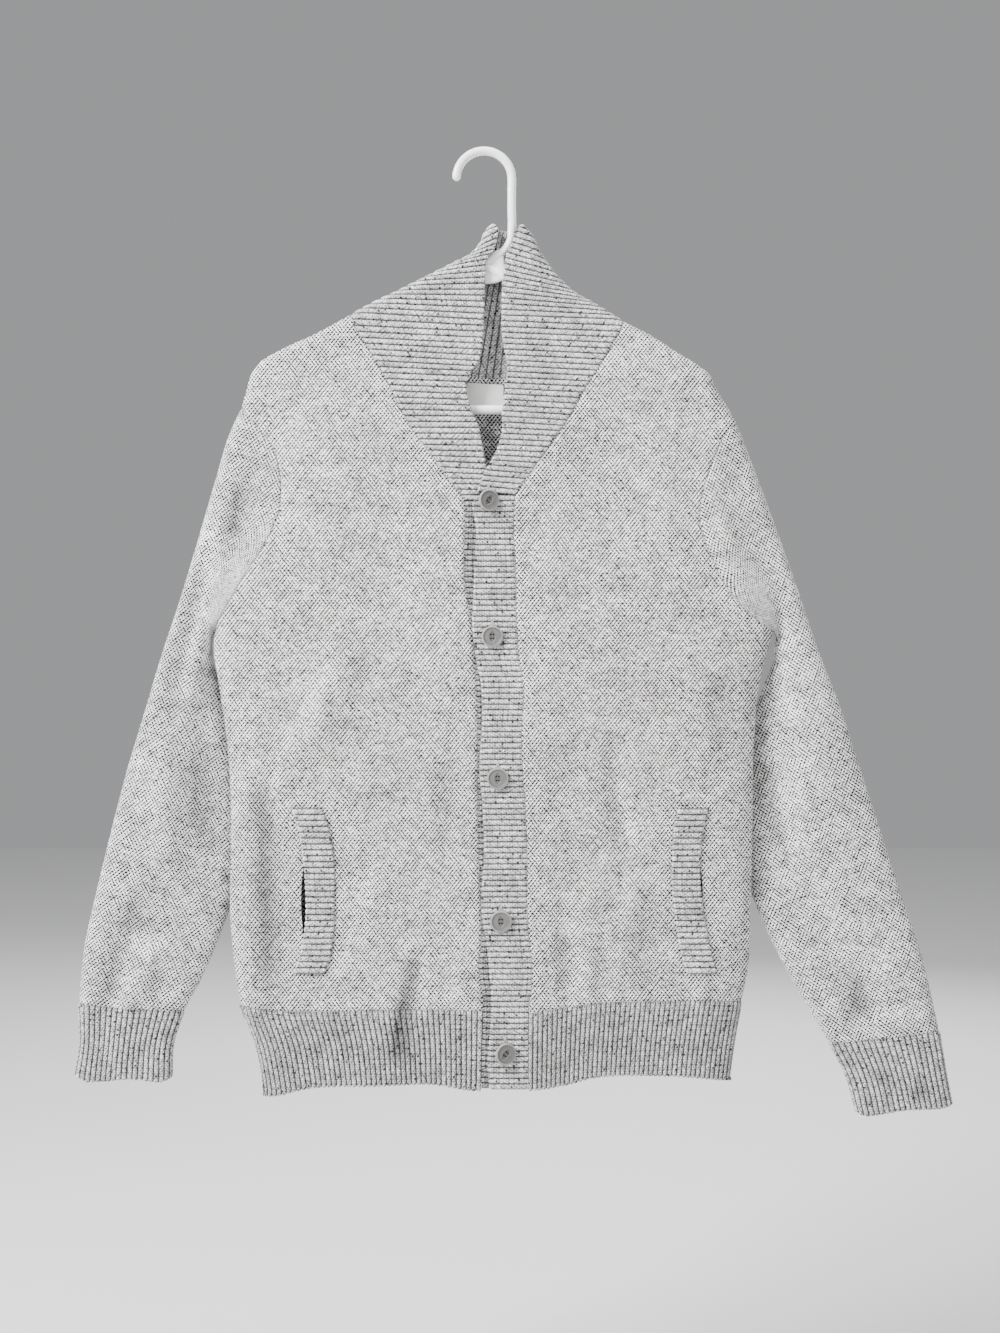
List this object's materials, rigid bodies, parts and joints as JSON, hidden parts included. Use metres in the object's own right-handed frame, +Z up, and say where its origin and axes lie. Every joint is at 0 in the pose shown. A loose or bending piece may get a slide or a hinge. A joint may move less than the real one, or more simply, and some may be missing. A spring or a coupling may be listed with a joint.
{
  "type": "shawl collar cardigan on a hanger",
  "caption": "Knitted shawl collar cardigan with ribbed bands, cuffs and hem, buttoned down the front and hanging flat on a plastic hanger.",
  "frame": {"origin": "inside crown of the hanger's hook, where the hook rests on what holds it", "axes": "+Z up towards the hook, -Y the front of the cardigan, +X the wearer's left"},
  "size_m": [0.816, 0.056, 0.8994],
  "materials": {
    "knit body": "marl jersey knit",
    "knit rib": "ribbed marl knit",
    "button": "satin",
    "label": "bare woven",
    "hanger plastic": "glossy"
  },
  "bodies": {
    "root": {"hanger": "hanger plastic", "right_front": "knit body", "left_front": "knit body", "back": "knit body", "right_sleeve": "knit body", "left_sleeve": "knit body", "right_cuff": "knit rib", "left_cuff": "knit rib", "right_hem_rib": "knit rib", "left_hem_rib": "knit rib", "back_hem_rib": "knit rib", "shawl_collar": "knit rib", "button_band": "knit rib", "buttonhole_band": "knit rib", "right_pocket_welt": "knit rib", "left_pocket_welt": "knit rib", "neck_label": "label", "button_1": "button", "button_2": "button", "button_3": "button", "button_4": "button", "button_5": "button"}
  },
  "joints": []
}
